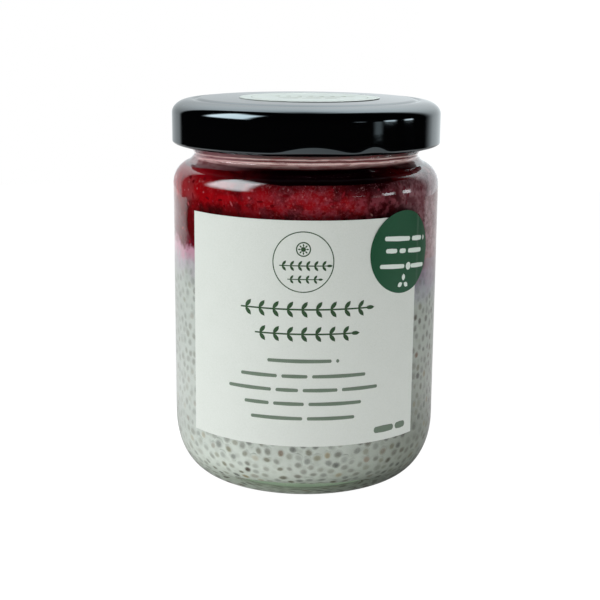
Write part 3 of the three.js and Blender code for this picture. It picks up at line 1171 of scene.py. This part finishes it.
# Painted reflection: a pale haze at the right edge.
painted_haze_right = clouds.ramp(0.4, 0.6).between((124, 74, 82), (158, 116, 124))
red = red.coat(in_front * x.ramp(19, 27, 0.0, 0.85), painted_haze_right)
uneven_x = (patches - 0.5) * 26 + x
# Painted reflection: a pale haze at the left edge.
painted_haze_left = uneven_x.ramp(-33, -27.3, 0.56, 0.0) * z.ramp(69, 77, 1.0, 0.35)
red = red.coat(painted_haze_left, 150, 104, 112)
red = red.coat(froth * z.ramp(COMPOTE_TOP - 3.0, COMPOTE_TOP - 0.5), 206, 150, 156)
bled = use(bleed_group, place)
red = bled["Stain"].coat(bled["Above"], red)
# Painted shade on the top face, which lies under the lid.
facing_up = Field(add(place.tree, "NewGeometry").outputs["Normal"]).sides()[2]
red = red.coat(facing_up.ramp(0.75, 0.9), 40, 0, 4)
feed(shader, {"Base Color": red, "Roughness": 0.5, "Specular IOR Level": 0.0})
bump(shader, mash, 0.5, 0.5)
dress(compote, fruit, "berry_compote", "berry_compote")

# %% Make the pulp's material
flesh, shader, place = material("pips_and_shreds")
tone, rim = [attribute(place.tree, name) for name in ("tone", "rim")]
bit = tone.ramp(0.2, 0.7).between((108, 4, 14), (156, 34, 48))
bit = bit.coat(tone.ramp(0.84, 0.86), 186, 84, 92)
bit = bit.coat(tone.ramp(0.965, 0.97), 240, 172, 168)
bit = bit.coat(rim.ramp(0.4, 0.9), 112, 6, 16)
# Painted shade: the bits turn duller towards the right.
bit = bit.coat(place.sides()[0].ramp(4, 24, 0.0, 0.75), 96, 50, 60)
feed(shader, {"Base Color": bit, "Specular IOR Level": 0.0})
dress(pulp, flesh, "berry_compote")

# %% [markdown]
# The film is drawn by its height and by the side it is on. Over the shoulder it is a dark wine
# red, painted nearly black at the front as shade under the lid, brighter red at the left as
# painted light, and with a painted haze of reflection at the right. In the neck, froth gathers in
# pale rings, and between them the juice is thin and dark. The froth is painted paler at the left,
# and it is given a little painted glow that stands in for the light the clear neck carries round
# from the bright sides. Where the shoulder's crease mirrors the film, it is painted dark in the
# mirror, for there the froth would draw a pale line that a real jar doesn't show.

# %% Make the film's material
FRONT_ANGLE = 7
FILM_RINGS = [
    (81.9, (70, 6, 10)),
    (82.4, (60, 14, 18)),
    (82.9, (132, 100, 100)),
    (83.9, (176, 142, 140)),
    (84.3, (206, 176, 174)),
    (84.7, (232, 200, 198)),
    (85.15, (120, 80, 80)),
    (85.6, (84, 44, 46)),
    (86.0, (190, 160, 158)),
    (86.2, (232, 204, 202)),
    (86.5, (104, 78, 76)),
    (87.1, (84, 64, 64)),
    (88.0, (40, 26, 28)),
]
juice, shader, place = material("frothy_juice")
x, y, z = place.sides()
angle = x.calc("ARCTAN2", y * -1.0).calc("DEGREES")
from_front = (angle - FRONT_ANGLE).calc("ABSOLUTE")
sag = from_front.ramp(18, 88, -0.05, 1.75) * z.ramp(82.5, 86.2, 1.0, 0.2)
height = z + (place.noise(6.0) - 0.5) * 0.6 + sag
ring_ends = (FILM_RINGS[0][0], FILM_RINGS[-1][0])
ring_stops = [
    ((level - ring_ends[0]) / (ring_ends[1] - ring_ends[0]), colour) for level, colour in FILM_RINGS
]
frothy = height.ramp(*ring_ends, kind="LINEAR").colours(ring_stops)
# Painted light: the froth is paler at the left.
frothy = frothy.coat(x.ramp(-26, -8, 0.3, 0.0), 236, 170, 184)
streaks = place.stretch((0.3, 0.3, 1.6)).noise(1.3, detail=4.0, distortion=0.8)
frothy = frothy.coat(streaks.ramp(0.46, 0.66, 0.0, 0.6), 112, 40, 46)
swirl = place.noise(3.0, detail=4.0, distortion=1.0)
wine = swirl.ramp(0.4, 0.65).between((126, 6, 14), (86, 2, 8))
# Painted light: brighter red at the left.
wine = wine.coat(x.ramp(-26, -18, 0.8, 0.0), 170, 10, 26)
# Painted reflection: a pale haze at the right edge.
painted_haze_right = swirl.ramp(0.4, 0.6).between((176, 118, 122), (110, 46, 50))
wine = wine.coat(x.ramp(24, 28.5) * z.ramp(79.5, 81.2, 1.0, 0.1), painted_haze_right)
# Painted shade: nearly black at the front, under the lid.
wine = from_front.ramp(20, 62).between((12, 0, 2), wine)
# In mirrors the film is painted dark.
unmirrored = outputs(add(place.tree, "LightPath"))["Glossy Depth"].calc("LESS_THAN", 0.5)
film_colour = wine.coat(height.ramp(82.1, 82.5), frothy)
# Painted glow: the froth glows a little, though it is no lamp.
painted_film_glow = (height.ramp(83.0, 84.0) * unmirrored).between((0, 0, 0), frothy)
feed(shader, {
    "Base Color": unmirrored.between((12.9, 0, 3.3), film_colour),
    "Emission Color": painted_film_glow,
    "Emission Strength": 0.24,
    "Specular IOR Level": 0.0,
})
dress(film, juice, "berry_compote")

# %% [markdown]
# ## Paper and ink
#
# The label is matt paper with a fine tooth. The sticker's paper is coated and takes a sheen.
# Ink soaks in a little unevenly. All of them use one group for the paper's fibres.

# %% Build the fibre group
fibre_group, given, result = group(
    "paper_fibres",
    {"Place": "Vector", "Sheet": "Color", "Fleck": "Color", "Strength": "Float"},
    {"Colour": "Color", "Tooth": "Float"},
)
fibres = given["Place"].noise(0.35, detail=5.0, roughness=0.7, distortion=0.8)
cloudy = given["Place"].noise(6.0, detail=2.0).ramp(0.2, 0.8, 0.6, 1.2)
share = fibres.ramp(0.3, 0.75) * given["Strength"] * cloudy
feed(result, {"Colour": given["Sheet"].coat(share, given["Fleck"]), "Tooth": fibres})
print(f"{fibre_group.name}: {len(fibre_group.nodes)} nodes")


def paper(name, sheet, fleck, strength, roughness, tooth, tint=(1, 1, 1)):
    made, shader, place = material(name)
    fibre = use(fibre_group, place, Sheet=seen(*sheet), Fleck=seen(*fleck), Strength=strength)
    feed(shader, {"Base Color": fibre["Colour"], "Roughness": roughness, "Specular Tint": (*tint, 1)})
    bump(shader, fibre["Tooth"], tooth, 0.05)
    return made


# %% Dress the paper pieces
GREEN_SHEEN = (0.65, 1.0, 0.85)
label_paper = paper("label_paper", (231, 236, 230), (215, 222, 213), 0.5, 0.75, 0.25)
lid_paper = paper("lid_sticker_paper", (216, 222, 216), (202, 208, 201), 0.5, 0.7, 0.25)
green_paper = paper("green_sticker_paper", (0, 66, 34), (6, 82, 44), 0.6, 0.34, 0.1, GREEN_SHEEN)
dark_ink = paper("dark_green_ink", (30, 66, 30), (52, 92, 52), 0.5, 0.55, 0.1)
small_ink = paper("grey_green_ink", (104, 122, 104), (128, 144, 126), 0.5, 0.6, 0.1)
mint_ink = paper("mint_ink", (236, 246, 238), (216, 232, 220), 0.4, 0.4, 0.1)
faint_ink = paper("faint_ink", (178, 184, 172), (198, 204, 192), 0.5, 0.6, 0.1)
dress(label, label_paper, "label_paper", "front_label")
dress(label_dark, dark_ink, "green_paper")
dress(label_small, small_ink, "green_paper")
dress(sticker, green_paper, "green_paper", "round_sticker")
dress(sticker_print, mint_ink, "label_paper")
dress(lid_sticker, lid_paper, "label_paper", "lid_sticker")
dress(lid_print, faint_ink, "label_paper")

# %% [markdown]
# ## The studio
#
# The jar stands on a pale floor in a room that is dark in front, so the black lid stays black.
# The floor is a sheet of light. It is dimmer under the jar, most of all at the right, and it
# shows less through the glass than beside it, so that the base keeps its green.

# %% Floor
FLOOR_RADIUS = 600
FLOOR_LIGHT = {"front": 1.3, "back": 0.62, "left": 1.1, "right": 0.88, "through": 0.25, "mirrored": 0.88}
SHEEN_REACH = 260
FAR_SHEEN = 1.6
SIDE_SPREAD = 0.55
floor = basic_shape(
    "circle", "studio_floor", vertices=128, radius=FLOOR_RADIUS * MM, fill_type="NGON"
)
settle(floor, location=(0, 0, -0.2 * MM))
floor_finish, shader, place = material("pale_floor")
x, y, z = place.sides()
path = outputs(add(place.tree, "LightPath"))
from_axis = Field(add(place.tree, "VectorMath", {0: place}, operation="LENGTH").outputs["Value"])
lit = y.ramp(-20, 120, FLOOR_LIGHT["front"], FLOOR_LIGHT["back"])
lit = lit * x.ramp(-60, 60, FLOOR_LIGHT["left"], FLOOR_LIGHT["right"])
shadow = from_axis.ramp(24, 48, 1.0, 0.0) * x.ramp(-30, 20, 0.62, 0.85)
through_glass = path["Is Transmission Ray"] * (FLOOR_LIGHT["through"] - 1) + 1.0
behind = x.calc("ABSOLUTE") * -SIDE_SPREAD + y
sheen = from_axis.ramp(SHEEN_REACH, SHEEN_REACH + 30, 1.0, 0.0).calc("MAXIMUM", behind.ramp(-10, 50))
sheen = sheen * from_axis.ramp(SHEEN_REACH, 380, 1.0, FAR_SHEEN)
close_by = from_axis.ramp(40, 120, 0.65, 0.0) * y.ramp(-50, -10)
sheen = sheen * (1.0 - close_by) * FLOOR_LIGHT["mirrored"]
in_mirrors = path["Is Glossy Ray"] * (sheen - 1.0) + 1.0
glow = lit * (1.0 - shadow) * through_glass * in_mirrors
feed(shader, {
    "Base Color": (0.02, 0.02, 0.02, 1),
    "Roughness": 0.9,
    "Specular IOR Level": 0.0,
    "Emission Color": (1, 1, 1, 1),
    "Emission Strength": glow.calc("MAXIMUM", path["Is Camera Ray"]),
})
floor.data.materials.append(floor_finish)
report(floor)

# %% [markdown]
# The food and paper are lit by gentle lamps that mirrors don't see. What shiny pieces mirror
# is drawn on the room itself: a backdrop that brightens overhead, a soft box at the left, and
# small windows and a doorway at the right.

# %% Lamps
COOL = (0.97, 1.0, 1.0)
JAR_MIDDLE = Vector((0, 0, 0.05))


def lamp(name, place, size, radiance):
    """A soft lamp that faces the jar. Radiance is how bright its face looks, white being 1.

    The place and the size are in metres."""
    data = bpy.data.lights.new(name, "AREA")
    data.shape = "RECTANGLE"
    data.size, data.size_y = size
    data.energy = radiance * math.pi * size[0] * size[1]
    data.color = COOL
    made = bpy.data.objects.new(name, data)
    bpy.context.collection.objects.link(made)
    made.location = place
    made.rotation_euler = (JAR_MIDDLE - Vector(place)).to_track_quat("-Z", "Y").to_euler()
    made.visible_camera = made.visible_glossy = made.visible_transmission = False
    print(f"{name}: {data.energy:.2f} W")


lamp("left_key", (-0.62, -0.13, 0.30), (0.5, 0.5), 2.3)
lamp("front_fill", (0.28, -0.62, 0.16), (0.5, 0.3), 0.9)
lamp("top_fill", (0.0, 0.2, 0.7), (0.5, 0.5), 0.8)

# %% The room
BACKDROP = {"left": -50, "right": 62, "soft_left": 8, "soft_right": 19}
BACKDROP |= {"left_light": 0.78, "right_light": 1.08, "far_right": 0.16, "overhead": 2.8}
AMBIENT = 0.004
WINDOWS = {
    "soft box": ((-133, -77, 11, 62, 12, 12), 11.5),
    "first window": ((98, 114, -3, 9, 5, 3), 8.0),
    "second window": ((78, 92, -3, 9, 4, 3), 7.0),
    "third window": ((128, 142, 1, 5, 5, 1.5), 2.5),
    "doorway": ((112, 124, -5.4, 1.0, 5, 0.4), 1.0),
}
world = bpy.data.worlds.new("room")
bpy.context.scene.world = world
world.use_nodes = True
tree = world.node_tree
tree.nodes.clear()
x, y, z = Field(add(tree, "TexCoord").outputs["Generated"]).sides()
azimuth = x.calc("ARCTAN2", y).calc("DEGREES")
elevation = z.calc("ARCSINE").calc("DEGREES")
path = outputs(add(tree, "LightPath"))


def window(left, right, bottom, top, soft_sides, soft_ends):
    """A patch between two azimuths and two elevations, in degrees, with soft edges."""
    across_it = azimuth.ramp(left, left + soft_sides) * azimuth.ramp(right - soft_sides, right, 1.0, 0.0)
    up_it = elevation.ramp(bottom, bottom + soft_ends) * elevation.ramp(top - soft_ends, top, 1.0, 0.0)
    return across_it * up_it


mirrored = path["Is Glossy Ray"].calc("MAXIMUM", path["Is Transmission Ray"])
in_room = sum(window(*sides) * light for sides, light in WINDOWS.values()) * mirrored
sideways = azimuth.ramp(-2, 9, BACKDROP["left_light"], BACKDROP["right_light"])
sideways = sideways + azimuth.ramp(10, 40, 0.0, BACKDROP["far_right"])
upwards = elevation.ramp(6, 64, 0.0, BACKDROP["overhead"])
backdrop = (sideways + upwards) * elevation.ramp(62, 88, 1.0, 0.0)
left, right = BACKDROP["left"], BACKDROP["right"]
backdrop = backdrop * azimuth.ramp(left, left + BACKDROP["soft_left"])
backdrop = backdrop * azimuth.ramp(right - BACKDROP["soft_right"], right, 1.0, 0.0)
backdrop = backdrop * (path["Is Transmission Ray"] * elevation.ramp(8, 18, 0.0, -0.8) + 1.0)
room_light = in_room + backdrop + AMBIENT
background = add(tree, "Background", {
    "Color": path["Is Camera Ray"].between((243.4, 251.6, 255), (255, 255, 255)),
    "Strength": room_light.calc("MAXIMUM", path["Is Camera Ray"]),
})
feed(add(tree, "OutputWorld"), {"Surface": background.outputs[0]})
print(f"room: {len(WINDOWS)} bright patches, {len(tree.nodes)} nodes")

# %% [markdown]
# ## The camera
#
# The camera looks slightly down at the jar from a third of a metre, with a long lens. Its
# place was found by fitting the jar's rims and edges, and it is turned by half a degree.

# %% Place the camera
CAMERA_PLACE = (-1.27 * MM, -328.75 * MM, 119.15 * MM)
LOOK_DOWN = 0.2222
ROLL = 0.0077
FOCAL_PIXELS = 1259
FRAME_PIXELS = 600
camera_data = bpy.data.cameras.new("camera")
camera_data.sensor_width = 36
camera_data.lens = FOCAL_PIXELS / FRAME_PIXELS * camera_data.sensor_width
camera = bpy.data.objects.new("camera", camera_data)
bpy.context.collection.objects.link(camera)
ahead = Vector((0, math.cos(LOOK_DOWN), -math.sin(LOOK_DOWN)))
right = Vector((1, 0, 0))
up = right.cross(ahead)
rolled_right = right * math.cos(ROLL) + up * math.sin(ROLL)
rolled_up = -right * math.sin(ROLL) + up * math.cos(ROLL)
turned_to = Matrix((rolled_right, rolled_up, -ahead)).transposed()
camera.matrix_world = Matrix.Translation(CAMERA_PLACE) @ turned_to.to_4x4()
bpy.context.scene.camera = camera
bpy.context.scene.view_settings.view_transform = "Standard"
print(f"lens {camera_data.lens:.1f} mm")
